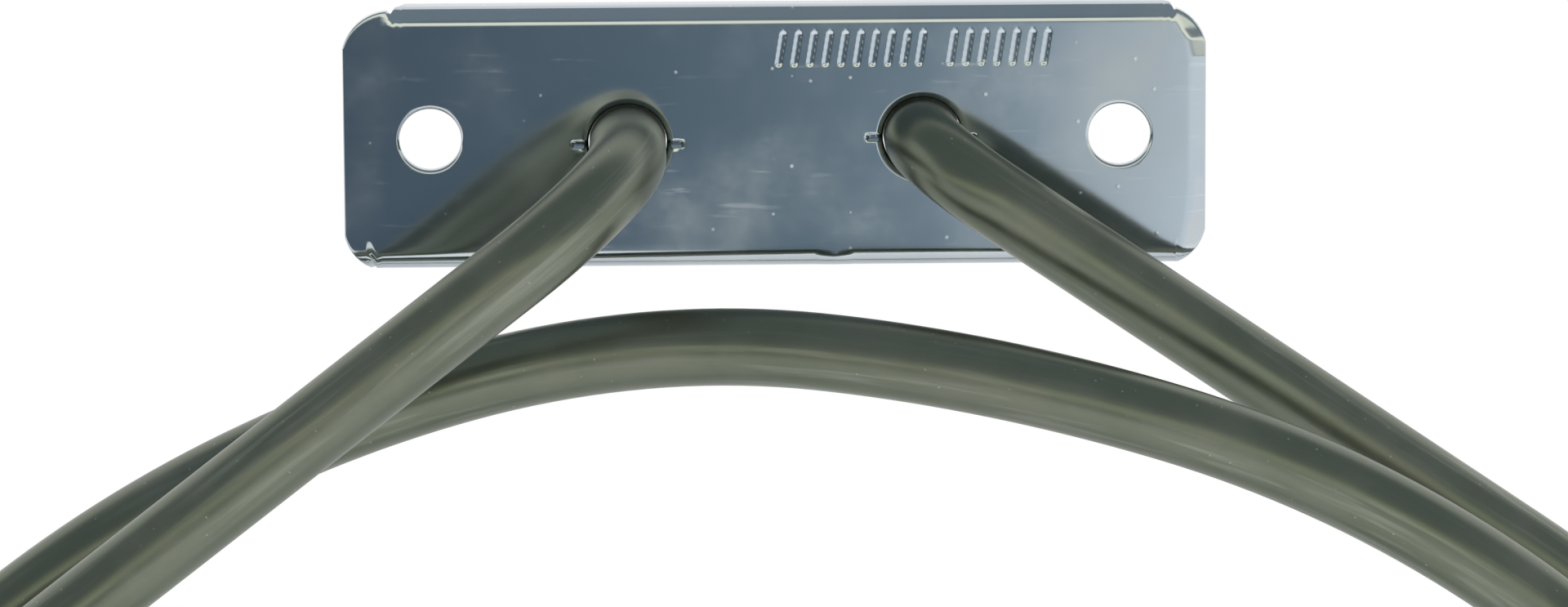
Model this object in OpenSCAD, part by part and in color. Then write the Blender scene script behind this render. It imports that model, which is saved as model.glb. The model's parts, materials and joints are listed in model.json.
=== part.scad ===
// Circular heating element for a fan oven.
// One sheathed heater bent into two turns, held by its two legs in a pressed mounting plate.
// The origin is the middle of the plate's rear face. X is right, Z is up, and the ring is in front, at -Y.

/* [Sheath tube] */
// Outer diameter of the sheath
tube_d = 6.5; // [5.8:0.1:7.4]
// Wall of the sheath
tube_wall = 0.5; // [0.3:0.05:0.8]

/* [Turns] */
// Centreline radius of the front turn
front_turn_r = 101; // [92:1:104]
// Centreline radius of the back turn
back_turn_r = 108; // [104:1:118]
// From the plate's middle down to the top of the front turn's circle
front_turn_drop = 16.3; // [15.5:0.1:20]
// From the plate's middle down to the top of the back turn's circle
back_turn_drop = 15.6; // [15:0.1:19]
// Sideways offset of both turns from the plate's middle
turn_side = 2; // [-4:0.5:4]
// Angle right of the top where the front turn leaves its plane for the crossover
crossover_right = 17.5; // [12:0.5:26]
// Angle left of the top where the crossover reaches the back turn
crossover_left = 15; // [12:0.5:26]
// From the plate's front face to the centreline of the back turn
back_depth = 7.5; // [7.2:0.1:12]
// From the back turn's centreline forward to the front turn's
turn_pitch = 11.4; // [8.5:0.1:16]

/* [Legs] */
// Distance between the two legs in the plate
leg_gap = 24.8; // [22:0.2:28]
// Left leg below the plate's middle
left_leg_drop = 0.5; // [0:0.1:1]
// Right leg below the plate's middle
right_leg_drop = 0.1; // [0:0.1:1]
// Centreline radius of the left leg's bend
left_bend_r = 12; // [8:0.5:14]
// Centreline radius of the right leg's bend
right_bend_r = 7.2; // [5.5:0.1:7.2]
// How far each leg stands out behind the plate
tail_len = 22; // [16:1:40]

/* [Mounting plate] */
// Width of the plate
plate_w = 72.6; // [68:0.2:80]
// Height of the plate over its bent lips
plate_h = 22.3; // [20.5:0.1:25]
// Thickness of the sheet
plate_t = 1; // [0.8:0.1:1.2]
// Depth of the bent lips, from the front face back
lip_depth = 3; // [2:0.1:5]
// Outside radius of the lips' bend
lip_r = 1.5; // [1.3:0.1:1.9]
// Radius of the blank's corners
corner_r = 4; // [3:0.1:5]
// How far the lower lip's bend eats into the blank's corners
corner_loss = 0.6; // [0:0.1:1]
// Length of the right end that is bent back
kick_len = 1.1; // [0.6:0.1:2]
// How far that end is bent back
kick_back = 0.3; // [0.1:0.05:0.5]

/* [Fixing holes] */
// Distance between the fixing holes
fixing_gap = 58; // [54:0.5:62]
// Diameter of the fixing holes
fixing_d = 5.2; // [4.2:0.1:6]
// Rolled edge that the punch left round the fixing holes
fixing_edge_r = 0.23; // [0.05:0.01:0.4]

/* [Tube collars] */
// Radius of the drawn edge at the mouth of the collars
collar_edge_r = 0.6; // [0.3:0.05:0.75]
// Wall of the collars, thinned by drawing
collar_wall = 0.7; // [0.4:0.05:0.9]
// Depth of the collars, from the front face back
collar_depth = 3.2; // [2:0.1:5]
// Clearance between collar and tube
collar_clear = 0.05; // [0.02:0.01:0.1]
// Length of the pinch mark at each side of a collar
pinch_len = 0.9; // [0.4:0.1:1.5]
// Depth of the pinch marks
pinch_depth = 0.35; // [0.1:0.05:0.5]

/* [Heating core] */
// Diameter of the resistance wire
wire_d = 0.5; // [0.3:0.05:0.6]
// Length of the terminal pins inside the sheath
cold_len = 65; // [50:1:80]
// Length of pin that the coil is screwed onto
coil_grip = 8; // [4:1:14]

/* [Terminals] */
// Diameter of the terminal pins
pin_d = 2.4; // [1.8:0.1:2.8]
// Length of the moisture seal in each mouth of the sheath
seal_len = 5; // [3:0.5:8]
// Length of the bush that sits in the sheath
bush_spigot = 3; // [2:0.5:6]
// Thickness of the bush outside the sheath
bush_head = 2.5; // [1.5:0.1:5]
// How far the bush's head stands proud of the sheath all round
bush_lip = 0.4; // [0.2:0.1:0.9]
// Rounding of the bush's head
bush_round = 0.6; // [0.3:0.1:0.8]
// Clearance of the bush round the pin and in the sheath
bush_clear = 0.05; // [0.02:0.01:0.1]
// Bare pin between the bush and the tab's weld
pin_bare = 1.5; // [1:0.5:5]
// Length of the weld between pin and tab
weld_len = 6; // [4:0.5:9]
// Width of the terminal tabs
tab_w = 6.3; // [4.8:0.1:6.4]
// Thickness of the terminal tabs
tab_t = 0.8; // [0.5:0.1:0.9]
// Length of the tabs past the pin's end
tab_reach = 8.5; // [8:0.5:12]
// Chamfer at the tip of the tabs
tab_chamfer = 1.2; // [0.5:0.1:1.6]
// Diameter of the latch hole in the tabs
tab_hole_d = 1.65; // [1.2:0.05:2]
// From the latch hole's middle to the tip of the tab
tab_hole_in = 4.1; // [3.5:0.1:5]

/* [Hidden] */
$fn = 64;

// A cut reaches this far past the face it opens
past = 1;
// The tube's stretches are joined by a bead this much thicker than the tube
seam_bead = 0.01;
// The stretches stop this far short of their joint, inside the bead
seam_gap = 0.05;

tube_r = tube_d / 2;
bore_r = tube_r - tube_wall;
pin_r = pin_d / 2;
coil_r = pin_r + wire_d;
collar_r = tube_r + collar_clear;
front_y = -plate_t;

// The centreline of the heater, as one route from the left tail to the right tail.
// A straight is [start, direction, 0, length]; a bend is [start, direction, inward normal, length, radius].
back_y = front_y - back_depth;
fore_y = back_y - turn_pitch;
left_hole = [-leg_gap / 2, -left_leg_drop];
right_hole = [leg_gap / 2, -right_leg_drop];
front_centre = [turn_side, -front_turn_drop - front_turn_r];
back_centre = [turn_side, -back_turn_drop - back_turn_r];

function unit(v) = v / norm(v);
function at_depth(p, y) = [p[0], y, p[1]];
// The point and the direction of travel on a turn, at an angle counted anticlockwise from +X
function on_turn(c, r, y, a) = at_depth(c + r * [cos(a), sin(a)], y);
function heading(a) = [-sin(a), 0, cos(a)];
// The angle on a turn where a straight leg from point h runs off it, on the left (1) or right (-1)
function leg_angle(h, c, r, side) = atan2(h[1] - c[1], h[0] - c[0]) + side * acos(r / norm(h - c));

// Two arcs join two headings without a kink. This is how far their corner lies along each heading,
// for the chord v between the two points and the headings t and u.
function arc_reach(v, t, u) =
    (sqrt(pow(2 * (v * (t + u)), 2) + 8 * (1 - t * u) * (v * v)) - 2 * (v * (t + u))) / (4 * (1 - t * u));
// The bend that leaves p heading t and passes through q
function arc_through(p, t, q) =
    let (v = q - p, off = v - (v * t) * t, n = unit(off), r = (v * v) / (2 * (v * n)))
    [p, t, n, 2 * atan2(v * n, v * t) * r * PI / 180, r];
// The bend that leaves p and arrives at q heading u
function arc_into(p, q, u) =
    let (back = arc_through(q, -u, p), a = back[3] / back[4] * 180 / PI)
    [p, cos(a) * u - sin(a) * back[2], cos(a) * back[2] + sin(a) * u, back[3], back[4]];

left_angle = leg_angle(left_hole, front_centre, front_turn_r, 1);
right_angle = leg_angle(right_hole, back_centre, back_turn_r, -1);
left_dir = heading(left_angle);
right_dir = -heading(right_angle);
left_off = on_turn(front_centre, front_turn_r, fore_y, left_angle);
right_off = on_turn(back_centre, back_turn_r, back_y, right_angle);

cross_a = 90 - crossover_right;
cross_b = 90 + crossover_left;
cross_p = on_turn(front_centre, front_turn_r, fore_y, cross_a);
cross_q = on_turn(back_centre, back_turn_r, back_y, cross_b);
reach = arc_reach(cross_q - cross_p, heading(cross_a), heading(cross_b));
cross_mid = (cross_p + reach * heading(cross_a) + cross_q - reach * heading(cross_b)) / 2;

left_leg_len = norm(left_off - at_depth(left_hole, fore_y)) - left_bend_r;
right_leg_len = norm(right_off - at_depth(right_hole, back_y)) - right_bend_r;
tail_left = at_depth(left_hole, tail_len);
tail_right = at_depth(right_hole, tail_len);

route = [
    [tail_left, [0, -1, 0], 0, tail_len - fore_y - left_bend_r],
    [at_depth(left_hole, fore_y + left_bend_r), [0, -1, 0], left_dir, left_bend_r * PI / 2, left_bend_r],
    [at_depth(left_hole, fore_y) + left_bend_r * left_dir, left_dir, 0, left_leg_len],
    [left_off, left_dir, -[cos(left_angle), 0, sin(left_angle)],
        (cross_a + 360 - left_angle) * PI / 180 * front_turn_r, front_turn_r],
    arc_through(cross_p, heading(cross_a), cross_mid),
    arc_into(cross_mid, cross_q, heading(cross_b)),
    [cross_q, heading(cross_b), -[cos(cross_b), 0, sin(cross_b)],
        (right_angle + 360 - cross_b) * PI / 180 * back_turn_r, back_turn_r],
    [right_off, -right_dir, 0, right_leg_len],
    [at_depth(right_hole, back_y) + right_bend_r * right_dir, -right_dir, [0, 1, 0],
        right_bend_r * PI / 2, right_bend_r],
    [at_depth(right_hole, back_y + right_bend_r), [0, 1, 0], 0, tail_len - back_y - right_bend_r]];

// How far along the route each stretch starts
starts = [for (i = 0, s = 0; i < len(route); s = s + route[i][3], i = i + 1) s];
route_len = starts[len(route) - 1] + route[len(route) - 1][3];

// Stands its children with Z along a direction, at a point
module aim(p, d) {
    turn = atan2(d[1], d[0]);
    tip = acos(d[2]);
    translate(p) rotate([0, tip, turn]) children();
}

// A round rod along one stretch of the route, from a to b along it
module stretch(piece, r, a, b) {
    if (len(piece) == 4)
        aim(piece[0] + a * piece[1], piece[1]) cylinder(r = r, h = b - a);
    else {
        x = -piece[2];
        y = piece[1];
        z = cross(x, y);
        c = piece[0] + piece[4] * piece[2];
        per = 180 / (PI * piece[4]);
        multmatrix([[x[0], y[0], z[0], c[0]], [x[1], y[1], z[1], c[1]], [x[2], y[2], z[2], c[2]]])
            rotate([0, 0, a * per]) rotate_extrude(angle = (b - a) * per) translate([piece[4], 0]) circle(r = r);
    }
}

// A round rod along the route, from s0 to s1 along the heater
module rod(r, s0, s1) {
    for (i = [0 : len(route) - 1]) {
        s = starts[i];
        e = s + route[i][3];
        a = s0 > s ? s0 - s : (i == 0 ? s0 : seam_gap);
        b = s1 < e ? s1 - s : (i == len(route) - 1 ? s1 - s : route[i][3] - seam_gap);
        if (b > a) stretch(route[i], r, a, b);
        if (i > 0 && s > s0 && s < s1) aim(route[i][0], route[i][1]) sphere(r = r + seam_bead);
    }
}

module mounting_plate() {
    color("silver") difference() {
        union() {
            intersection() {
                bent_sheet();
                blank_outline();
            }
            for (h = [left_hole, right_hole]) collar(h);
        }
        for (side = [-1, 1]) fixing_hole(side * fixing_gap / 2);
        for (h = [left_hole, right_hole]) collar_mouth(h);
    }
}

// The sheet in its bent form: a channel section whose right end is bent back
module bent_sheet() {
    difference() {
        translate([-plate_w / 2, 0, 0]) rotate([90, 0, 90]) linear_extrude(plate_w) difference() {
            rounded_front(plate_h / 2, lip_r, front_y, front_y + lip_depth);
            rounded_front(plate_h / 2 - plate_t, lip_r - plate_t, 0, front_y + lip_depth + past);
        }
        translate([0, 0, -plate_h / 2 - past]) linear_extrude(plate_h + 2 * past) kick(front_y, -past);
    }
    translate([0, 0, plate_t - plate_h / 2]) linear_extrude(plate_h - 2 * plate_t) kick(0, -plate_t / 2);
}

// A bar in section, from y0 back to y1, with its two front corners rounded
module rounded_front(half, r, y0, y1) {
    difference() {
        translate([y0, -half]) square([y1 - y0, 2 * half]);
        for (s = [-1, 1]) difference() {
            translate([y0 - past, s * half - (s > 0 ? r : past)]) square(r + past);
            translate([y0 + r, s * (half - r)]) circle(r = r);
        }
    }
}

// The wedge, seen from above, between the straight sheet and its bent-back end
module kick(y, side) {
    polygon([[plate_w / 2 - kick_len, y], [plate_w / 2, y + kick_back], [plate_w / 2, y + side],
        [plate_w / 2 - kick_len, y + side]]);
}

// The blank's outline, seen from the front: rounded corners, with the lower ones cut short by the bend
module blank_outline() {
    depth = lip_depth + plate_t + 2 * past;
    translate([0, front_y - past + depth, 0]) rotate([90, 0, 0]) linear_extrude(depth) difference() {
        translate([-plate_w / 2, -plate_h / 2 - corner_loss]) square([plate_w, plate_h + corner_loss]);
        for (sx = [-1, 1]) corner_waste(sx, plate_h / 2, 1);
        for (sx = [-1, 1]) corner_waste(sx, -plate_h / 2 - corner_loss, -1);
    }
}

// What is cut off a square corner to round it
module corner_waste(sx, z, sz) {
    difference() {
        translate([sx * (plate_w / 2 - corner_r / 2 + past / 2), z - sz * (corner_r / 2 - past / 2)])
            square(corner_r + past, center = true);
        translate([sx * (plate_w / 2 - corner_r), z - sz * corner_r]) circle(r = corner_r);
    }
}

// Lays a profile of radius and depth round a hole, with the depth counted back from the front face
module round_hole(x, z) {
    translate([x, front_y, z]) rotate([-90, 0, 0]) rotate_extrude() children();
}

// The waste of a round mouth: a bore with its front edge rolled over
module mouth(r, edge, depth) {
    translate([0, -past]) square([r, depth + 2 * past]);
    difference() {
        translate([0, -past]) square([r + edge, past + edge]);
        translate([r + edge, edge]) circle(r = edge);
    }
}

module fixing_hole(x) {
    round_hole(x, 0) mouth(fixing_d / 2, fixing_edge_r, plate_t);
}

// The drawn collar that grips the tube behind the plate
module collar(h) {
    round_hole(h[0], h[1]) translate([0, plate_t / 2])
        square([collar_r + collar_wall, collar_depth - plate_t / 2]);
}

module collar_mouth(h) {
    round_hole(h[0], h[1]) mouth(collar_r, collar_edge_r, collar_depth);
    for (side = [-1, 1]) pinch_mark(h, side);
}

// A notch where the collar's edge was pinched onto the tube
module pinch_mark(h, side) {
    reach_out = collar_r + collar_edge_r + pinch_len;
    translate([h[0] + side * reach_out / 2, front_y, h[1]]) rotate([45, 0, 0])
        cube([reach_out, pinch_depth * sqrt(2), pinch_depth * sqrt(2)], center = true);
}

module heater_sheath() {
    color("darkolivegreen") difference() {
        rod(tube_r, 0, route_len);
        rod(bore_r, -past, route_len + past);
    }
}

// The wound wire, drawn as the sleeve that its turns fill
module resistance_coil() {
    color("gray") difference() {
        rod(coil_r, cold_len - coil_grip, route_len - cold_len + coil_grip);
        rod(pin_r, cold_len - coil_grip - past, route_len - cold_len + coil_grip + past);
    }
}

module magnesia_jacket() {
    packed = bush_spigot + seal_len;
    color("white") difference() {
        rod(bore_r, packed, route_len - packed);
        rod(pin_r, packed - past, route_len - packed + past);
        rod(coil_r, cold_len - coil_grip, route_len - cold_len + coil_grip);
    }
}

module magnesia_core() {
    color("white") rod(pin_r, cold_len, route_len - cold_len);
}

// The pin's length outside the sheath
pin_out = bush_head + pin_bare + weld_len;

module left_terminal_pin() {
    terminal_pin(tail_left, -pin_out, cold_len);
}

module right_terminal_pin() {
    terminal_pin(tail_right, route_len - cold_len, route_len + pin_out);
}

// A round pin whose outer end is milled away on top to seat the tab
module terminal_pin(tail, s0, s1) {
    color("lightsteelblue") difference() {
        rod(pin_r, s0, s1);
        translate(tail + [-pin_r - past, pin_out - weld_len, -tab_t / 2])
            cube([pin_d + 2 * past, weld_len + past, pin_r + tab_t + past]);
    }
}

module left_seal() {
    seal(tail_left);
}

module right_seal() {
    seal(tail_right);
}

// Lays a profile of radius and length on a tail, with the length counted back from the sheath's end
module on_tail(tail) {
    translate(tail) rotate([-90, 0, 0]) rotate_extrude() children();
}

module seal(tail) {
    color("firebrick") on_tail(tail) translate([pin_r, -bush_spigot - seal_len]) square([bore_r - pin_r, seal_len]);
}

module left_bush() {
    bush(tail_left);
}

module right_bush() {
    bush(tail_right);
}

// A stepped ceramic bush: the spigot in the sheath, the head on its end
module bush(tail) {
    head_r = tube_r + bush_lip;
    hole_r = pin_r + bush_clear;
    color("ivory") on_tail(tail) {
        translate([hole_r, -bush_spigot]) square([bore_r - bush_clear - hole_r, bush_spigot + bush_head / 2]);
        translate([hole_r, 0]) square([head_r - hole_r, bush_head - bush_round]);
        translate([hole_r, 0]) square([head_r - bush_round - hole_r, bush_head]);
        translate([head_r - bush_round, bush_head - bush_round]) circle(r = bush_round);
    }
}

module left_tab() {
    tab(tail_left);
}

module right_tab() {
    tab(tail_right);
}

// A flat push-on tab with a chamfered tip and a latch hole, lying on the pin's milled seat
module tab(tail) {
    root = pin_out - weld_len;
    tip = pin_out + tab_reach;
    color("gainsboro") translate(tail - [0, 0, tab_t / 2]) linear_extrude(tab_t) difference() {
        polygon([[-tab_w / 2, root], [tab_w / 2, root], [tab_w / 2, tip - tab_chamfer],
            [tab_w / 2 - tab_chamfer, tip], [tab_chamfer - tab_w / 2, tip], [-tab_w / 2, tip - tab_chamfer]]);
        translate([0, tip - tab_hole_in]) circle(d = tab_hole_d);
    }
}

mounting_plate();
heater_sheath();
resistance_coil();
magnesia_jacket();
magnesia_core();
left_terminal_pin();
right_terminal_pin();
left_seal();
right_seal();
left_bush();
right_bush();
left_tab();
right_tab();
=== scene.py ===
import json
import math

import bmesh
import bpy
import numpy as np
from mathutils import Matrix, Vector


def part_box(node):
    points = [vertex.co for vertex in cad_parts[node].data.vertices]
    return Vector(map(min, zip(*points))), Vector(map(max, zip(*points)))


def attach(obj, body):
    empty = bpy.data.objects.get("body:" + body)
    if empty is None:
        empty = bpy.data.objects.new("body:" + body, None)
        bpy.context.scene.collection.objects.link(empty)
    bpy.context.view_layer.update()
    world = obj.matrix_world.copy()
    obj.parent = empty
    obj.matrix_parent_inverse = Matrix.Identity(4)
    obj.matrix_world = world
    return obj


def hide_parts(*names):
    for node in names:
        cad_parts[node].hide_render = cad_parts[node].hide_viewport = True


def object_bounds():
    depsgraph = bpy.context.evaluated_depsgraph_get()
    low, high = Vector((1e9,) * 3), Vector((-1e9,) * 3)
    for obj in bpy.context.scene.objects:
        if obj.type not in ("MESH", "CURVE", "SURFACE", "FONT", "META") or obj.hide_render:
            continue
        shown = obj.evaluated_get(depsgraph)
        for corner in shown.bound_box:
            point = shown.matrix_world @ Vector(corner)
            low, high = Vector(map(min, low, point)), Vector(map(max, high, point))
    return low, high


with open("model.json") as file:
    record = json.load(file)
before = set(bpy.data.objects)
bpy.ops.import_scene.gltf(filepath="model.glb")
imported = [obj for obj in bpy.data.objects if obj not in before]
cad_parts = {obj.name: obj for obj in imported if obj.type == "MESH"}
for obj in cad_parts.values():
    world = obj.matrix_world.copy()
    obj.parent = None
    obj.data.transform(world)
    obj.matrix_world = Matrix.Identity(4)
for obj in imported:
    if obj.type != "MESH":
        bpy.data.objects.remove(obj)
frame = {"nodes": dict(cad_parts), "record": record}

mm = 0.001                      # lengths below are in millimetres, and meshes are in metres
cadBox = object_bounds()
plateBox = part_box("mounting_plate")
print("stage 1: frame loaded,", len(frame["nodes"]), "nodes")

# The photograph's view, fitted to both legs, the ring and the plate's holes. The middle of the plate's
# front face lands on "pixel", and "roll" turns the picture about that point.
photoView = {"distance": 700.0, "elevation": 9.68, "azimuth": -1.0, "roll": 0.3, "pixelsPerMm": 14.55,
             "pixel": (949.0, 168.0), "frame": (1920, 743), "sensor": 36.0}


def plateFrontMiddle():
    low, high = plateBox
    return Vector(((low.x + high.x) / 2, low.y, (low.z + high.z) / 2))


# A pinhole aimed at the plate, then swung so that the plate's middle moves from the picture's centre to its pixel
def addPhotoCamera(view):
    width, height = view["frame"]
    azimuth, elevation = math.radians(view["azimuth"]), math.radians(view["elevation"])
    away = Vector((math.sin(azimuth) * math.cos(elevation), -math.cos(azimuth) * math.cos(elevation),
                   math.sin(elevation)))
    focal = view["pixelsPerMm"] * view["distance"]
    right = (-away).cross(Vector((0, 0, 1))).normalized()
    basis = Matrix((right, right.cross(-away), -away))
    target = Vector((view["pixel"][0] - width / 2, height / 2 - view["pixel"][1], focal)).normalized()
    swing = Vector((0, 0, 1)).rotation_difference(target).to_matrix()
    rows = Matrix.Rotation(math.radians(view["roll"]), 3, target) @ swing @ basis
    camera = bpy.data.objects.new("photoCamera", bpy.data.cameras.new("photoCamera"))
    camera.data.sensor_width = view["sensor"]
    camera.data.lens = focal * view["sensor"] / width
    camera.data.clip_start, camera.data.clip_end = 0.05, 60.0
    pose = Matrix((rows[0], rows[1], -rows[2])).transposed().to_4x4()
    pose.translation = plateFrontMiddle() + away * view["distance"] * mm
    camera.matrix_world = pose
    bpy.context.collection.objects.link(camera)
    bpy.context.scene.camera = camera


addPhotoCamera(photoView)
print("stage 2: camera")


# Adds a shader node. Sockets in "inputs" are linked and plain values are set.
def addNode(tree, kind, inputs=None, **settings):
    node = tree.nodes.new("ShaderNode" + kind)
    for name, value in settings.items():
        setattr(node, name, value)
    for key, value in (inputs or {}).items():
        if isinstance(value, bpy.types.NodeSocket):
            tree.links.new(value, node.inputs[key])
        else:
            node.inputs[key].default_value = value
    return node


def addMath(tree, operation, first, second=0.0, third=0.0):
    return addNode(tree, "Math", {0: first, 1: second, 2: third}, operation=operation).outputs[0]


def mixColour(tree, factor, first, second, blend="MIX"):
    mixer = addNode(tree, "Mix", {0: factor, 6: first, 7: second}, data_type="RGBA", blend_type=blend)
    return mixer.outputs[2]


def rampUp(tree, value, low, high):
    return addNode(tree, "MapRange", {"Value": value, "From Min": low, "From Max": high},
                   interpolation_type="SMOOTHSTEP").outputs["Result"]


def newMaterial(name):
    material = bpy.data.materials.new(name)
    material.use_nodes = True
    material.node_tree.nodes.clear()
    return material, material.node_tree


# Camera, glossy and transmission rays see the plain background
def seenRays(tree):
    path = addNode(tree, "LightPath")
    either = addMath(tree, "MAXIMUM", path.outputs["Is Camera Ray"], path.outputs["Is Glossy Ray"])
    return addMath(tree, "MAXIMUM", either, path.outputs["Is Transmission Ray"])


studio = {"skyFill": (0.92, 0.96, 1.0, 1), "skyStrength": 0.42,
          "floorColour": (0.80, 0.81, 0.82, 1), "floorRadius": 9.0, "floorPlain": (0.22, 0.75),
          "cardRadius": 0.92, "cardWidth": 1.5, "cardFrom": -14.5, "cardTo": 118.0,
          "cardLow": (0.13, 0.17, 0.19, 1), "cardHigh": (0.24, 0.29, 0.33, 1), "warmStrip": (1.22, 1.20, 0.98, 1),
          "stripHeights": (-0.07, 0.01, 0.15, 0.27), "windowHeights": (-0.34, -0.27, -0.11, -0.07),
          "windowSpan": 0.1, "windowTones": ((0.15, (0.080, 0.118, 0.155, 1)), (0.54, (0.14, 0.20, 0.25, 1)),
                                             (0.815, (0.27, 0.35, 0.41, 1)), (0.88, (0.43, 0.52, 0.59, 1)),
                                             (0.95, (0.90, 0.96, 1.0, 1)))}
lamps = {"front": {"at": (0.06, -0.86, 0.06), "aim": (0, 0, -0.02), "size": (0.62, 0.10), "watts": 5.0,
                   "colour": (1.0, 0.93, 0.80)},
         "right": {"at": (0.75, -0.62, 0.22), "aim": (0, 0, -0.06), "size": (0.30, 0.60), "watts": 7.0,
                   "colour": (0.95, 0.98, 1.0)},
         "back": {"at": (-0.5, 0.9, 0.55), "aim": (0, 0, -0.08), "size": (0.7, 0.7), "watts": 9.0,
                  "colour": (1.0, 0.98, 0.95)}}


def addWorld(values):
    world = bpy.data.worlds.new("studioSky")
    world.use_nodes = True
    tree = world.node_tree
    tree.nodes.clear()
    fill = addNode(tree, "Background", {"Color": values["skyFill"], "Strength": values["skyStrength"]})
    plain = addNode(tree, "Background", {"Color": (1, 1, 1, 1), "Strength": 1.0})
    both = addNode(tree, "MixShader", {0: seenRays(tree), 1: fill.outputs[0], 2: plain.outputs[0]})
    addNode(tree, "OutputWorld", {"Surface": both.outputs[0]})
    bpy.context.scene.world = world


# Faces of a grid of rows by columns, numbered row by row; closed grids join their last line to their first
def gridFaces(rows, columns, closeRows=False, closeColumns=False):
    row, column = np.meshgrid(np.arange(rows if closeRows else rows - 1),
                              np.arange(columns if closeColumns else columns - 1), indexing="ij")
    nextRow, nextColumn = (row + 1) % rows, (column + 1) % columns
    corners = (row * columns + column, row * columns + nextColumn,
               nextRow * columns + nextColumn, nextRow * columns + column)
    return np.stack(corners, axis=-1).reshape(-1, 4)


# A mesh from points in millimetres, shaded smooth up to an angle in degrees
def newMesh(name, points, faces, smoothAngle=35.0):
    mesh = bpy.data.meshes.new(name)
    mesh.from_pydata((np.asarray(points) * mm).tolist(), [], [list(face) for face in faces])
    mesh.polygons.foreach_set("use_smooth", np.ones(len(mesh.polygons), bool))
    mesh.set_sharp_from_angle(angle=math.radians(smoothAngle))
    return mesh


def newPiece(name, mesh, material):
    piece = bpy.data.objects.new(name, mesh)
    mesh.materials.append(material)
    bpy.context.collection.objects.link(piece)
    return piece


# A flat ring-by-ring disc at the object's lowest point. Far from the object it is as plain as the sky.
def addFloor(values):
    rings = np.geomspace(0.05, values["floorRadius"], 24) * 1000
    turn = np.linspace(0, 2 * np.pi, 96, endpoint=False)
    points = np.stack([rings[:, None] * np.cos(turn), rings[:, None] * np.sin(turn),
                       np.full((len(rings), len(turn)), cadBox[0].z * 1000)], axis=-1).reshape(-1, 3)
    faces = gridFaces(len(rings), len(turn), closeColumns=True)[:, ::-1].tolist() + [range(len(turn))]
    material, tree = newMaterial("floorPaper")
    place = addNode(tree, "TexCoord").outputs["Object"]
    distance = addNode(tree, "VectorMath", {0: place, 1: (1, 1, 0)}, operation="MULTIPLY")
    distance = addNode(tree, "VectorMath", {0: distance.outputs[0]}, operation="LENGTH").outputs["Value"]
    far = rampUp(tree, distance, *values["floorPlain"])
    lit = addNode(tree, "BsdfPrincipled", {"Base Color": values["floorColour"], "Roughness": 0.95,
                                           "Specular IOR Level": 0.0})
    plain = addNode(tree, "Emission", {"Color": (1, 1, 1, 1), "Strength": 1.0})
    factor = addMath(tree, "MULTIPLY", far, seenRays(tree))
    both = addNode(tree, "MixShader", {0: factor, 1: lit.outputs[0], 2: plain.outputs[0]})
    addNode(tree, "OutputMaterial", {"Surface": both.outputs[0]})
    newPiece("floor", newMesh("floor", points, faces), material)


# A dim sheet curved over the object from the front, part of a drum about the X axis. Only gloss sees it.
def addDimCard(values):
    angles = np.radians(np.linspace(values["cardFrom"], values["cardTo"], 40))
    across = np.linspace(-values["cardWidth"], values["cardWidth"], 9) * 1000
    radius = values["cardRadius"] * 1000
    points = np.stack(np.broadcast_arrays(across[None, :], -radius * np.cos(angles)[:, None],
                                          radius * np.sin(angles)[:, None]), axis=-1).reshape(-1, 3)
    material, tree = newMaterial("dimCard")
    place = addNode(tree, "TexCoord").outputs["Object"]
    sideways, _, height = addNode(tree, "SeparateXYZ", {0: place}).outputs
    tone = mixColour(tree, rampUp(tree, height, -0.1, 0.6), values["cardLow"], values["cardHigh"])

    def betweenHeights(heights):
        rising = rampUp(tree, height, heights[0], heights[1])
        return addMath(tree, "MULTIPLY", rising, addMath(tree, "SUBTRACT", 1.0, rampUp(tree, height, *heights[2:])))

    span = values["windowSpan"]
    along = addNode(tree, "MapRange", {"Value": sideways, "From Min": -span, "From Max": span}).outputs["Result"]
    window = addNode(tree, "ValToRGB", {"Fac": along})
    stops = window.color_ramp.elements
    for number, (position, colour) in enumerate(values["windowTones"]):
        stop = stops[number] if number < 2 else stops.new(position)
        stop.position, stop.color = position, colour
    tone = mixColour(tree, betweenHeights(values["windowHeights"]), tone, window.outputs["Color"])
    tone = mixColour(tree, betweenHeights(values["stripHeights"]), tone, values["warmStrip"])
    glow = addNode(tree, "Emission", {"Color": tone, "Strength": 1.0})
    addNode(tree, "OutputMaterial", {"Surface": glow.outputs[0]})
    card = newPiece("dimCard", newMesh("dimCard", points, gridFaces(len(angles), len(across))), material)
    card.visible_camera = card.visible_diffuse = card.visible_shadow = False
    card.visible_transmission = card.visible_volume_scatter = False


def addLamps(values):
    for name, lamp in values.items():
        light = bpy.data.lights.new(name + "Lamp", "AREA")
        light.shape = "RECTANGLE"
        light.size, light.size_y = lamp["size"]
        light.energy, light.color = lamp["watts"], lamp["colour"]
        holder = bpy.data.objects.new(name + "Lamp", light)
        holder.location = lamp["at"]
        holder.rotation_euler = (Vector(lamp["aim"]) - Vector(lamp["at"])).to_track_quat("-Z", "Y").to_euler()
        holder.visible_glossy = False
        bpy.context.collection.objects.link(holder)


addWorld(studio)
addFloor(studio)
addDimCard(studio)
addLamps(lamps)
bpy.context.scene.view_settings.view_transform = "Standard"
print("stage 3: studio")


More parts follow.
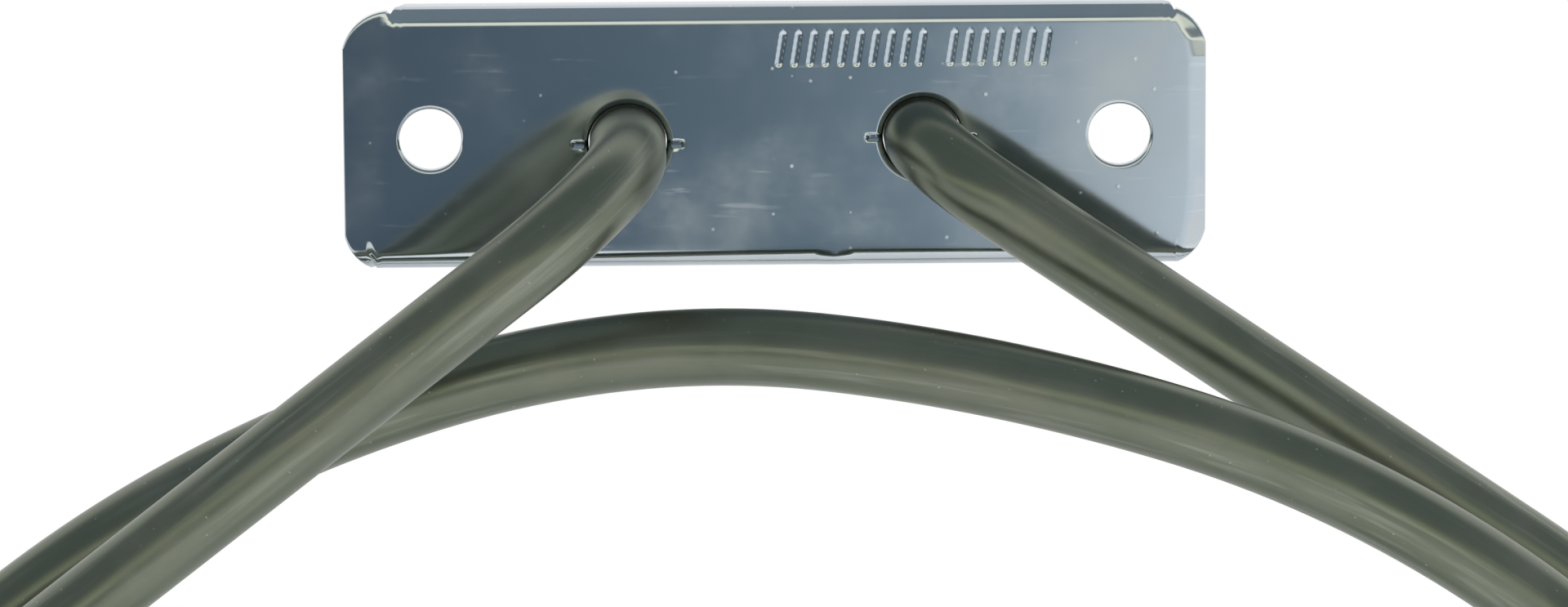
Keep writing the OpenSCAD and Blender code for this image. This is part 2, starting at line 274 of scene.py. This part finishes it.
# The heater's centreline repeats the part's own route: straights and bends that meet without a kink. Its tube is
# a hair under the part's 6.5, so that its round wall stays inside the part's faceted one.
heater = {"tubeDiameter": 6.44, "wall": 0.5, "frontTurnRadius": 101.0, "backTurnRadius": 108.0,
          "frontTurnDrop": 16.3, "backTurnDrop": 15.6, "turnSide": 2.0, "crossoverRight": 17.5,
          "crossoverLeft": 15.0, "backDepth": 7.5, "turnPitch": 11.4, "legGap": 24.8, "leftLegDrop": 0.5,
          "rightLegDrop": 0.1, "leftBendRadius": 12.0, "rightBendRadius": 7.2, "tailLength": 22.0,
          "straightStep": 2.2, "bendStep": 1.7, "turnStep": 0.06, "around": 72, "endRound": 0.12, "innerEvery": 3}


# Straights are (start, heading, length); bends are (start, heading, inward, length, radius)
def heaterStretches(size):
    frontY = plateBox[0].y / mm
    backY = frontY - size["backDepth"]
    foreY = backY - size["turnPitch"]
    leftHole = np.array([-size["legGap"] / 2, -size["leftLegDrop"]])
    rightHole = np.array([size["legGap"] / 2, -size["rightLegDrop"]])
    frontRadius, backRadius = size["frontTurnRadius"], size["backTurnRadius"]
    frontCentre = np.array([size["turnSide"], -size["frontTurnDrop"] - frontRadius])
    backCentre = np.array([size["turnSide"], -size["backTurnDrop"] - backRadius])

    def atDepth(point, y):
        return np.array([point[0], y, point[1]])

    def outward(angle):
        return np.array([math.cos(angle), 0.0, math.sin(angle)])

    def heading(angle):
        return np.array([-math.sin(angle), 0.0, math.cos(angle)])

    def onTurn(centre, radius, y, angle):
        return atDepth(centre, y) + radius * outward(angle)

    def legAngle(hole, centre, radius, side):
        gap = hole - centre
        return math.atan2(gap[1], gap[0]) + side * math.acos(radius / np.linalg.norm(gap))

    def arcThrough(start, direction, end):
        chord = end - start
        off = chord - chord.dot(direction) * direction
        inward = off / np.linalg.norm(off)
        radius = chord.dot(chord) / (2 * chord.dot(inward))
        return start, direction, inward, 2 * math.atan2(chord.dot(inward), chord.dot(direction)) * radius, radius

    leftAngle = legAngle(leftHole, frontCentre, frontRadius, 1)
    rightAngle = legAngle(rightHole, backCentre, backRadius, -1)
    leftDirection, rightDirection = heading(leftAngle), -heading(rightAngle)
    leftOff = onTurn(frontCentre, frontRadius, foreY, leftAngle)
    rightOff = onTurn(backCentre, backRadius, backY, rightAngle)
    crossFrom = math.radians(90 - size["crossoverRight"])
    crossTo = math.radians(90 + size["crossoverLeft"])
    crossStart = onTurn(frontCentre, frontRadius, foreY, crossFrom)
    crossEnd = onTurn(backCentre, backRadius, backY, crossTo)
    leaving, arriving = heading(crossFrom), heading(crossTo)
    chord = crossEnd - crossStart
    sway = 2 * chord.dot(leaving + arriving)
    bendShare = 4 * (1 - leaving.dot(arriving))
    reach = (math.sqrt(sway ** 2 + 2 * bendShare * chord.dot(chord)) - sway) / bendShare
    crossMiddle = (crossStart + reach * leaving + crossEnd - reach * arriving) / 2
    backwards = arcThrough(crossEnd, -arriving, crossMiddle)
    turned = backwards[3] / backwards[4]
    leftRadius, rightRadius = size["leftBendRadius"], size["rightBendRadius"]
    intoPlate, tail = np.array([0.0, -1.0, 0.0]), size["tailLength"]
    return [
        (atDepth(leftHole, tail), intoPlate, tail - foreY - leftRadius),
        (atDepth(leftHole, foreY + leftRadius), intoPlate, leftDirection, leftRadius * math.pi / 2, leftRadius),
        (atDepth(leftHole, foreY) + leftRadius * leftDirection, leftDirection,
         np.linalg.norm(leftOff - atDepth(leftHole, foreY)) - leftRadius),
        (leftOff, leftDirection, -outward(leftAngle), (crossFrom + 2 * math.pi - leftAngle) * frontRadius,
         frontRadius),
        arcThrough(crossStart, leaving, crossMiddle),
        (crossMiddle, math.cos(turned) * arriving - math.sin(turned) * backwards[2],
         math.cos(turned) * backwards[2] + math.sin(turned) * arriving, backwards[3], backwards[4]),
        (crossEnd, arriving, -outward(crossTo), (rightAngle + 2 * math.pi - crossTo) * backRadius, backRadius),
        (rightOff, -rightDirection, np.linalg.norm(rightOff - atDepth(rightHole, backY)) - rightRadius),
        (atDepth(rightHole, backY) + rightRadius * rightDirection, -rightDirection, -intoPlate,
         rightRadius * math.pi / 2, rightRadius),
        (atDepth(rightHole, backY + rightRadius), -intoPlate, tail - backY - rightRadius)]


# Stations along the stretches: middle, and the two directions that carry the section round without twisting it.
# In a bend of radius r, s along it, the section turns by s / r about the bend's own axis.
def heaterStations(size):
    middles, firsts, seconds, lengths = [], [], [], []
    first, travelled = np.array([0.0, 0.0, 1.0]), 0.0
    for stretch in heaterStretches(size):
        start, direction, length = stretch[0], stretch[1], stretch[3 if len(stretch) == 5 else 2]
        if len(stretch) == 3:
            s = np.linspace(0, length, max(2, math.ceil(length / size["straightStep"]) + 1))[:, None]
            middle, tangent = start + s * direction, direction + 0 * s
            firstHere = first + 0 * s
        else:
            inward, radius = stretch[2], stretch[4]
            step = min(size["bendStep"], size["turnStep"] * radius)
            s = np.linspace(0, length, math.ceil(length / step) + 1)[:, None]
            turn = s / radius
            middle = start + radius * (np.sin(turn) * direction + (1 - np.cos(turn)) * inward)
            tangent = np.cos(turn) * direction + np.sin(turn) * inward
            axis = np.cross(direction, inward)
            along = first.dot(axis) * axis
            firstHere = along + np.cos(turn) * (first - along) + np.sin(turn) * np.cross(axis, first - along)
        keep = slice(0 if not middles else 1, None)
        middles.append(middle[keep])
        firsts.append(firstHere[keep])
        seconds.append(np.cross(tangent, firstHere)[keep])
        lengths.append(travelled + s[keep, 0])
        first, travelled = firstHere[-1], travelled + length
    return [np.concatenate(parts) for parts in (middles, firsts, seconds, lengths)]


# A circle carried along the stations, out along the outer wall and back along the bore, closed both ways.
# "straightened" keeps each point's place on the tube before it was bent: section x and y, and length.
def addHeaterTube(size, material):
    middles, firsts, seconds, lengths = heaterStations(size)
    outer, total = size["tubeDiameter"] / 2, lengths[-1]
    bore, edge = outer - size["wall"], size["endRound"]
    rounding = np.array([[0, edge], [0.1 * edge, 0.56 * edge], [0.29 * edge, 0.29 * edge], [0.56 * edge, 0.1 * edge],
                         [edge, 0]])
    inner = lengths[1:-1][::size["innerEvery"]][::-1]
    stations = np.concatenate([rounding[:, 0], lengths[1:-1], total - rounding[::-1, 0], [total], inner, [0.0]])
    radii = np.concatenate([outer - rounding[:, 1], np.full(len(lengths) - 2, outer), outer - rounding[::-1, 1],
                            np.full(len(inner) + 2, bore)])
    turn = np.linspace(0, 2 * np.pi, size["around"], endpoint=False)

    def between(values):
        return np.stack([np.interp(stations, lengths, values[:, k]) for k in range(3)], axis=-1)

    middle, first, second = between(middles), between(firsts), between(seconds)
    circle = (radii[:, None, None] * (np.cos(turn)[None, :, None] * first[:, None, :]
                                      + np.sin(turn)[None, :, None] * second[:, None, :]))
    points = (middle[:, None, :] + circle).reshape(-1, 3)
    faces = gridFaces(len(stations), len(turn), closeRows=True, closeColumns=True)
    mesh = newMesh("heaterTube", points, faces)
    straight = np.stack(np.broadcast_arrays(radii[:, None] * np.cos(turn), radii[:, None] * np.sin(turn),
                                            stations[:, None]), axis=-1).reshape(-1, 3)
    mesh.attributes.new("straightened", "FLOAT_VECTOR", "POINT").data.foreach_set("vector", straight.ravel())
    tube = newPiece("heaterTube", mesh, material)
    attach(tube, "root")
    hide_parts("heater_sheath")
    return tube


# The pressed plate, as one sheet laid out flat: u runs along it, v across it over both bent lips, and depth goes
# into the sheet from its outer face. Sizes repeat the part's own.
plate = {"width": 72.6, "height": 22.3, "thickness": 1.0, "lipDepth": 3.0, "bendRadius": 1.5, "edgeRound": 0.13,
         "topCorner": 4.1, "bottomCorner": 4.3, "bottomLoss": 0.45, "cornerTop": 10.95,
         "runOutLeft": (-32.5, -31.6, -31.0), "runOutRight": (33.8, 33.0, 32.4),
         "creaseAngle": 17.0, "creaseRound": 0.10,
         "crease": ((-11.2, 34.0), (-10.3, 34.3), (-8.5, 34.7), (-7.15, 34.98), (-3.57, 35.26), (6.6, 35.2),
                    (8.1, 34.85), (9.0, 34.2), (10.93, 33.13), (11.2, 33.0)),
         "dent": {"at": 5.0, "half": 1.6, "push": 0.15},
         "holeBand": 5.0, "fixing": {"at": 29.0, "radius": 2.6, "edge": 0.23, "cell": 3.2},
         "collar": {"radius": 3.3, "edge": 0.6, "wall": 0.7, "depth": 3.2, "cell": 5.0, "rings": 11},
         "nick": {"from": 3.1, "to": 4.75, "half": 0.36, "depth": 0.30},
         "bars": {"from": 0.55, "pitch": 1.31, "count": 18, "skip": 10, "middle": 7.49, "half": 1.22, "lean": 0.16,
                  "stroke": 0.21, "wall": 0.05, "depth": 0.055}}
holes = {side: np.array([sign * heater["legGap"] / 2, -heater[side + "LegDrop"]])
         for side, sign in (("left", -1), ("right", 1))}


def easeStep(value, low, high):
    t = np.clip((value - low) / (high - low), 0, 1)
    return t * t * (3 - 2 * t)


# How far the blank reaches above or below its middle at u, and how far its lip is folded there.
# A corner is a quarter circle; past it the fold turns up from flat to square, and then the lip gains its depth.
def blankReach(u, top, size):
    half, radius = size["width"] / 2, size["bendRadius"]
    face = size["height"] / 2 - radius
    straight = size["lipDepth"] - radius
    full = face + radius * math.pi / 2
    corner = size["topCorner" if top else "bottomCorner"]
    if top:
        away = np.clip(corner - (half - np.abs(u)), 0, corner)
        flat = size["cornerTop"] - corner + np.sqrt(corner ** 2 - away ** 2)
        flatEnd, square, whole = size["runOutLeft"]
        flatEndRight, squareRight, wholeRight = size["runOutRight"]
        folded = np.minimum(easeStep(u, flatEnd, square), easeStep(-u, -flatEndRight, -squareRight))
        lip = np.minimum(easeStep(u, square, whole), easeStep(-u, -squareRight, -wholeRight))
        angle = folded * math.pi / 2
        rise = np.maximum(flat - face - radius * np.sin(angle), 0) * (1 - folded)
        return np.where(folded > 0, face + radius * angle + rise + straight * lip, flat), angle
    lowest = size["height"] / 2 + size["bottomLoss"]
    away = np.clip(corner - (half - np.abs(u)), 0, corner)
    seen = lowest - corner + np.sqrt(corner ** 2 - away ** 2)
    over = np.clip((seen - face) / radius, 0, 1)
    wrapped = np.where(seen < face, seen, face + radius * np.arcsin(over))
    return wrapped + straight * easeStep(seen, face + radius, face + radius + 0.12), np.full_like(u, math.pi / 2)


# From the flat blank to the bent sheet: straight up to the bend, round it by (v - face) / radius, then straight on.
# Past its crease, the right end falls back by a fixed slope.
def bentSheet(u, v, depth, size):
    radius = size["bendRadius"]
    face, front = size["height"] / 2 - radius, -size["thickness"]
    across = np.abs(v)
    limit = np.where(v > 0, blankReach(u, True, size)[1], blankReach(u, False, size)[1])
    angle = np.clip((across - face) / radius, 0, limit)
    beyond = np.maximum(across - face - radius * limit, 0)
    z = np.sign(v) * (np.minimum(across, face) + (radius - depth) * np.sin(angle) + beyond * np.cos(angle))
    y = front + radius - (radius - depth) * np.cos(angle) + beyond * np.sin(angle)
    heights, places = np.array(size["crease"]).T
    past = (u - np.interp(z, heights, places)) / size["creaseRound"]
    y = y + math.tan(math.radians(size["creaseAngle"])) * size["creaseRound"] * np.logaddexp(0, past)
    dent = size["dent"]
    near = np.clip(1 - np.abs(u - dent["at"]) / dent["half"], 0, 1) ** 0.5 * (v < 0)
    y = y - near * np.clip(y - front - depth, 0, dent["push"])
    return np.stack(np.broadcast_arrays(u, y, z), axis=-1)


# How deep the front is pressed in at a point: the pinch marks beside the collars and the row of stamped bars
def frontPress(x, z, size):
    nick, bars = size["nick"], size["bars"]
    press = np.zeros(np.broadcast(x, z).shape)
    for hole in holes.values():
        out = np.abs(x - hole[0])
        wedge = np.clip(1 - np.abs(z - hole[1]) / nick["half"], 0, 1)
        inside = easeStep(out, nick["from"] - 0.1, nick["from"]) * (1 - easeStep(out, nick["to"] - 0.3, nick["to"]))
        press = np.maximum(press, nick["depth"] * wedge * inside)
    along = np.clip(z - bars["middle"], -bars["half"], bars["half"])
    number = np.round((x - bars["lean"] * along - bars["from"]) / bars["pitch"])
    number = np.clip(number, 0, bars["count"] - 1)
    off = np.hypot(x - bars["from"] - number * bars["pitch"] - bars["lean"] * along, z - bars["middle"] - along)
    stamped = 1 - easeStep(off, bars["stroke"] - bars["wall"], bars["stroke"] + bars["wall"])
    return np.maximum(press, bars["depth"] * stamped * (number != bars["skip"]))


# Steps of at most "step" through a list of stops
def stepped(stops, steps):
    parts = [np.linspace(low, high, max(1, math.ceil((high - low) / step)), endpoint=False)
             for low, high, step in zip(stops[:-1], stops[1:], steps)]
    return np.concatenate(parts + [[stops[-1]]])


# One face of the sheet as a grid with square openings, each filled by rings that turn from the opening's outline
# to the hole's circle. Returns points, faces, the outline's loop and each hole's loop.
def sheetSide(columns, rows, cells, place, size):
    full = size["height"] / 2 - size["bendRadius"] + size["bendRadius"] * math.pi / 2 \
        + size["lipDepth"] - size["bendRadius"]
    band, inset = size["holeBand"], size["edgeRound"]
    u, v = np.meshgrid(columns, rows)
    reach = np.where(v > 0, blankReach(u, True, size)[0], blankReach(u, False, size)[0]) - inset
    v = np.where(np.abs(v) <= band, v, np.sign(v) * (band + (np.abs(v) - band) * (reach - band) / (full - band)))
    flat = [np.stack([u, v], axis=-1).reshape(-1, 2)]
    faces = gridFaces(*u.shape)
    centre = flat[0][faces].mean(axis=1)
    number = np.arange(u.size).reshape(u.shape)
    loops, extra, count = {}, [], u.size
    for name, (middle, radius, half, rings) in cells.items():
        inside = (np.abs(centre[:, 0] - middle[0]) < half) & (np.abs(centre[:, 1]) < band)
        faces, centre = faces[~inside], centre[~inside]
        left, right = np.searchsorted(columns, (middle[0] - half - 1e-6, middle[0] + half - 1e-6))
        low, high = np.searchsorted(rows, (-band - 1e-6, band - 1e-6))
        edge = np.concatenate([number[low, left:right], number[low:high, right], number[high, right:left:-1],
                               number[high:low:-1, left]])
        offset = flat[0][edge] - middle
        circle = radius * offset / np.linalg.norm(offset, axis=1, keepdims=True)
        share = (np.arange(rings) / rings)[:, None, None] ** 1.5
        ring = middle + (1 - share) * circle + share * offset
        flat.append(ring.reshape(-1, 2))
        around = np.concatenate([(count + np.arange(ring[..., 0].size)).reshape(rings, -1), edge[None]])
        count += ring[..., 0].size
        following = np.roll(around, -1, axis=1)
        extra.append(np.stack([around[:-1], following[:-1], following[1:], around[1:]], axis=-1).reshape(-1, 4)[:, ::-1])
        loops[name] = around[0]
    outline = np.concatenate([number[0, :-1], number[:-1, -1], number[-1, :0:-1], number[:0:-1, 0]])
    flat = np.concatenate(flat)
    return flat, np.concatenate([faces] + extra), outline, loops


# Both faces of the sheet, joined by a rounded cut edge, the punched holes and the drawn collars
def addPressedPlate(size, material):
    thick, inset, band = size["thickness"], size["edgeRound"], size["holeBand"]
    half, face = size["width"] / 2, size["height"] / 2 - size["bendRadius"]
    full = face + size["bendRadius"] * math.pi / 2 + size["lipDepth"] - size["bendRadius"]
    bend = face + size["bendRadius"] * math.pi / 2
    fixing, collar = size["fixing"], size["collar"]
    quarter = np.linspace(0, math.pi / 2, 13)
    leftCorner = -half + inset + size["topCorner"] * (1 - np.cos(quarter))[:-1]
    fixingEdge, collarEdge = fixing["at"] - fixing["cell"], size["collar"]["cell"]
    leftHole, rightHole = holes["left"][0], holes["right"][0]
    columns = np.concatenate([leftCorner, stepped(
        [-fixing["at"] - fixing["cell"], -31.0, -fixingEdge, leftHole - collarEdge, leftHole + collarEdge, -0.3,
         rightHole - collarEdge, rightHole + collarEdge, 23.9, fixingEdge, fixing["at"] + fixing["cell"],
         half - inset - 0.4], [0.12, 0.5, 0.7, 0.5, 0.6, 0.095, 0.095, 0.095, 0.6, 0.5, 0.13])[:-1],
        half - inset - 0.4 + 0.4 * np.sin(np.linspace(0, math.pi / 2, 7))])
    rows = np.concatenate([-stepped([1.0, band, face, bend, full], [0.55, 0.7, 0.24, 0.5])[::-1],
                           stepped([-0.9, 0.8, band, 5.9, 9.1, face, bend, full],
                                   [0.1, 0.55, 0.5, 0.125, 0.3, 0.2, 0.5])])

    def cells(spread):
        found = {side: (holes[side], collar["radius"] + collar["edge"] + spread, collar["cell"], collar["rings"])
                 for side in ("left", "right")}
        found.update({"fixing" + side: (np.array([sign * fixing["at"], 0.0]),
                                        fixing["radius"] + fixing["edge"] + spread * 0.1, fixing["cell"], 5)
                      for side, sign in (("Left", -1), ("Right", 1))})
        return found

    flat, frontFaces, outline, frontLoops = sheetSide(columns, rows, cells(0.0), bentSheet, size)
    rearFlat, rearFaces, rearOutline, rearLoops = sheetSide(columns, rows, cells(0.12), bentSheet, size)
    front = bentSheet(flat[:, 0], flat[:, 1], 0.0, size)
    front[:, 1] += frontPress(front[:, 0], front[:, 2], size)
    rear = bentSheet(rearFlat[:, 0], rearFlat[:, 1], thick, size)
    points, faces = [front, rear], [frontFaces, rearFaces[:, ::-1] + len(front)]
    count = len(front) + len(rear)

    def joinLoops(first, last, between):
        nonlocal count
        points.append(between.reshape(-1, 3))
        middle = (count + np.arange(between[..., 0].size)).reshape(between.shape[:2])
        count += middle.size
        around = np.concatenate([first[None], middle, last[None]])
        following = np.roll(around, -1, axis=1)
        faces.append(np.stack([around[:-1], around[1:], following[1:], following[:-1]], axis=-1).reshape(-1, 4))

    # The cut edge goes outwards from the inset outline by the round's own quarter circle, and back at the rear
    ahead, behind = np.roll(flat[outline], -1, axis=0), np.roll(flat[outline], 1, axis=0)
    tangent = (ahead - behind) / np.maximum(np.linalg.norm(ahead - behind, axis=1, keepdims=True), 1e-9)
    outward = np.stack([tangent[:, 1], -tangent[:, 0]], axis=-1)
    turn = np.array([0.4, 0.8, 1.2, math.pi / 2])
    steps = [(inset * math.sin(t), inset * (1 - math.cos(t))) for t in turn]
    steps += [(out, thick - down) for out, down in steps[::-1]]
    edge = np.stack([bentSheet(flat[outline, 0] + out * outward[:, 0], flat[outline, 1] + out * outward[:, 1], down, size)
                     for out, down in steps])
    joinLoops(outline, rearOutline + len(front), edge)

    # Each hole's wall is a list of (radius, depth) carried round its circle
    def roundWall(name, middle, wall):
        offset = flat[frontLoops[name]] - middle
        circle = offset / np.linalg.norm(offset, axis=1, keepdims=True)
        radius, depth = np.array(wall).T
        place = middle + radius[:, None, None] * circle
        ring = np.stack([place[..., 0], -thick + np.broadcast_to(depth[:, None], place.shape[:2]), place[..., 1]], axis=-1)
        deep = frontPress(ring[..., 0], ring[..., 2], size) * (1 - easeStep(depth, 0.3, 0.8))[:, None]
        ring[..., 1] += deep
        joinLoops(frontLoops[name][::-1], (rearLoops[name] + len(front))[::-1], ring[:, ::-1])

    rolled = np.linspace(0, math.pi / 2, 9)[1:]
    bore, edgeRound, wallOut = collar["radius"], collar["edge"], collar["radius"] + collar["wall"]
    mouth = [(bore + edgeRound * (1 - math.sin(t)), edgeRound * (1 - math.cos(t))) for t in rolled]
    end = collar["depth"]
    collarWall = mouth + [(bore, 1.4), (bore, 2.3), (bore, end - 0.12), (bore + 0.04, end - 0.03), (bore + 0.14, end),
                          (wallOut - 0.18, end), (wallOut - 0.05, end - 0.05), (wallOut, end - 0.18), (wallOut, 2.2),
                          (wallOut, 1.5), (wallOut, thick + 0.14), (wallOut + 0.005, thick + 0.03)]
    for side in ("left", "right"):
        roundWall(side, holes[side], collarWall)
    bore, edgeRound = fixing["radius"], fixing["edge"]
    punched = [(bore + edgeRound * (1 - math.sin(t)), edgeRound * (1 - math.cos(t))) for t in rolled[1::2]]
    punched += [(bore, 0.5), (bore + 0.02, thick - 0.06), (bore + 0.07, thick)]
    for side, sign in (("Left", -1), ("Right", 1)):
        roundWall("fixing" + side, np.array([sign * fixing["at"], 0.0]), punched)
    faces = np.concatenate(faces)
    used, faces = np.unique(faces, return_inverse=True)    # drops the points left inside the openings
    mesh = newMesh("pressedPlate", np.concatenate(points)[used], faces.reshape(-1, 4), 40.0)
    sheet = newPiece("pressedPlate", mesh, material)
    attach(sheet, "root")
    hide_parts("mounting_plate")
    return sheet


# A shader group with a vector and plain numbers going in and one mask coming out. "draw" makes its nodes.
def newMaskGroup(name, numbers, draw):
    tree = bpy.data.node_groups.new(name, "ShaderNodeTree")
    tree.interface.new_socket("Vector", in_out="INPUT", socket_type="NodeSocketVector")
    for number in numbers:
        tree.interface.new_socket(number, in_out="INPUT", socket_type="NodeSocketFloat")
    tree.interface.new_socket("Mask", in_out="OUTPUT", socket_type="NodeSocketFloat")
    given = tree.nodes.new("NodeGroupInput")
    tree.links.new(draw(tree, given.outputs), tree.nodes.new("NodeGroupOutput").inputs["Mask"])
    return tree


# Soft clouds: layered noise, spread between two levels
def drawClouds(tree, given):
    noise = addNode(tree, "TexNoise", {"Vector": given["Vector"], "Scale": given["Scale"], "Detail": 6.0,
                                       "Roughness": 0.62})
    return rampUp(tree, noise.outputs[0], given["Low"], given["High"])


# Fine marks: noise squeezed along one direction by the material's own mapping, where only its crests show
def drawStreaks(tree, given):
    wide = addNode(tree, "TexNoise", {"Vector": given["Vector"], "Scale": given["Scale"], "Detail": 4.0,
                                      "Distortion": 0.15})
    patch = addNode(tree, "TexNoise", {"Vector": given["Vector"], "Scale": addMath(tree, "MULTIPLY", given["Scale"], 0.11),
                                       "Detail": 2.0})
    crest = rampUp(tree, wide.outputs[0], given["Low"], given["High"])
    return addMath(tree, "MULTIPLY", crest, rampUp(tree, patch.outputs[0], 0.38, 0.62))


# Specks: the small middles of a scattered few cells
def drawSpecks(tree, given):
    cells = addNode(tree, "TexVoronoi", {"Vector": given["Vector"], "Scale": given["Scale"]})
    near = addMath(tree, "SUBTRACT", 1.0, rampUp(tree, cells.outputs["Distance"], given["Low"], given["High"]))
    chosen = addNode(tree, "SeparateColor", {0: cells.outputs["Color"]}).outputs[0]
    return addMath(tree, "MULTIPLY", near, rampUp(tree, chosen, 0.62, 0.80))


maskNumbers = ("Scale", "Low", "High")
maskGroups = {"clouds": newMaskGroup("cloudyTarnish", maskNumbers, drawClouds),
              "streaks": newMaskGroup("fineStreaks", maskNumbers, drawStreaks),
              "specks": newMaskGroup("specksAndPaintedGlints", maskNumbers, drawSpecks)}


def addMask(tree, kind, vector, values):
    node = tree.nodes.new("ShaderNodeGroup")
    node.node_tree = maskGroups[kind]
    tree.links.new(vector, node.inputs["Vector"])
    for name, value in zip(maskNumbers, values):
        node.inputs[name].default_value = value
    return node.outputs["Mask"]


# One finish for each slot of the record. Scales are per metre, "grain" stretches the streaks, and each mask is
# (scale, low, high). "roughness" runs from clean to clouded metal, and "relief" is the streaks' and specks' height in
# metres.
# On the plate and the sheath the lighter mark colour is partly painted light. On the specks it paints glints, painted
# highlights over small pits that also get a real bump. On the streaks it is the scratches' own tone.
finishes = {
    "plate_steel": {"colour": (0.52, 0.57, 0.61, 1), "clouded": (0.60, 0.64, 0.66, 1), "mark": (0.74, 0.78, 0.80, 1),
                    "metallic": 1.0, "roughness": (0.10, 0.21), "clouds": (55, 0.42, 0.78), "grain": (1, 1, 9),
                    "streaks": (160, 0.60, 0.74), "specks": (620, 0.05, 0.13), "relief": 0.000006},
    "sheath_steel": {"colour": (0.150, 0.172, 0.130, 1), "clouded": (0.185, 0.200, 0.160, 1),
                     "mark": (0.34, 0.36, 0.32, 1), "metallic": 0.92, "roughness": (0.30, 0.40),
                     "clouds": (70, 0.36, 0.66), "grain": (1, 1, 0.05), "streaks": (1500, 0.50, 0.72),
                     "specks": (900, 0.04, 0.11), "relief": 0.000010},
    "resistance_wire": {"colour": (0.30, 0.29, 0.28, 1), "clouded": (0.20, 0.19, 0.18, 1), "mark": (0.5, 0.5, 0.48, 1),
                        "metallic": 1.0, "roughness": (0.32, 0.50), "clouds": (300, 0.4, 0.65), "grain": (1, 1, 1),
                        "streaks": (2500, 0.55, 0.70), "specks": (3000, 0.05, 0.12), "relief": 0.000006},
    "magnesia": {"colour": (0.78, 0.77, 0.73, 1), "clouded": (0.66, 0.65, 0.61, 1), "mark": (0.86, 0.85, 0.82, 1),
                 "metallic": 0.0, "roughness": (0.82, 0.95), "clouds": (400, 0.4, 0.65), "grain": (1, 1, 1),
                 "streaks": (3500, 0.50, 0.65), "specks": (2500, 0.08, 0.2), "relief": 0.00004},
    "pin_steel": {"colour": (0.52, 0.52, 0.51, 1), "clouded": (0.40, 0.40, 0.39, 1), "mark": (0.72, 0.72, 0.71, 1),
                  "metallic": 1.0, "roughness": (0.22, 0.38), "clouds": (260, 0.4, 0.7), "grain": (1, 0.06, 1),
                  "streaks": (2200, 0.52, 0.70), "specks": (1800, 0.05, 0.12), "relief": 0.000008},
    "seal": {"colour": (0.42, 0.09, 0.05, 1), "clouded": (0.34, 0.07, 0.045, 1), "mark": (0.50, 0.16, 0.11, 1),
             "metallic": 0.0, "roughness": (0.38, 0.60), "clouds": (350, 0.4, 0.65), "grain": (1, 1, 1),
             "streaks": (1800, 0.55, 0.70), "specks": (1500, 0.06, 0.14), "relief": 0.00001},
    "bush_ceramic": {"colour": (0.80, 0.78, 0.72, 1), "clouded": (0.70, 0.67, 0.60, 1), "mark": (0.58, 0.55, 0.49, 1),
                     "metallic": 0.0, "roughness": (0.30, 0.55), "clouds": (300, 0.4, 0.7), "grain": (1, 1, 1),
                     "streaks": (2600, 0.58, 0.70), "specks": (2200, 0.05, 0.12), "relief": 0.00001},
    "tab_steel": {"colour": (0.58, 0.59, 0.60, 1), "clouded": (0.47, 0.48, 0.48, 1), "mark": (0.76, 0.77, 0.78, 1),
                  "metallic": 1.0, "roughness": (0.18, 0.34), "clouds": (240, 0.4, 0.7), "grain": (1, 0.08, 1),
                  "streaks": (1900, 0.54, 0.70), "specks": (1600, 0.05, 0.12), "relief": 0.000006}}


def addFinish(name, look, attribute=None):
    material, tree = newMaterial(name)
    if attribute:
        place = addNode(tree, "Attribute", attribute_name=attribute).outputs["Vector"]
        place = addNode(tree, "VectorMath", {0: place, 1: (mm, mm, mm)}, operation="MULTIPLY").outputs[0]
    else:
        place = addNode(tree, "TexCoord").outputs["Object"]
    drawn = addNode(tree, "Mapping", {"Vector": place, "Scale": look["grain"]}).outputs[0]
    clouds = addMask(tree, "clouds", place, look["clouds"])
    streaks = addMask(tree, "streaks", drawn, look["streaks"])
    specks = addMask(tree, "specks", place, look["specks"])
    # Streaks and specks share the mark colour. On the plate and the sheath, the specks in it are painted glints.
    marks = addMath(tree, "MAXIMUM", addMath(tree, "MULTIPLY", streaks, 0.45), specks)
    colour = mixColour(tree, clouds, look["colour"], look["clouded"])
    colour = mixColour(tree, marks, colour, look["mark"])
    low, high = look["roughness"]
    roughness = addNode(tree, "MapRange", {"Value": clouds, "To Min": low, "To Max": high}).outputs["Result"]
    roughness = addMath(tree, "MULTIPLY_ADD", marks, 0.12, roughness)
    relief = addNode(tree, "Bump", {"Height": marks, "Distance": look["relief"], "Strength": 0.6})
    surface = addNode(tree, "BsdfPrincipled", {"Base Color": colour, "Metallic": look["metallic"],
                                               "Roughness": roughness, "Normal": relief.outputs[0]})
    addNode(tree, "OutputMaterial", {"Surface": surface.outputs[0]})
    return material


for subpart in frame["record"]["subparts"]:
    node = frame["nodes"][subpart["node"]]
    node.data.materials.clear()
    node.data.materials.append(addFinish(subpart["node"] + "Finish", finishes[subpart["material_slot"]]))

tube = addHeaterTube(heater, addFinish("sheathOxide", finishes["sheath_steel"], "straightened"))
print("stage 5: heater tube,", len(tube.data.polygons), "faces")

sheet = addPressedPlate(plate, addFinish("brightSteel", finishes["plate_steel"]))
print("stage 6: pressed plate,", len(sheet.data.polygons), "faces")
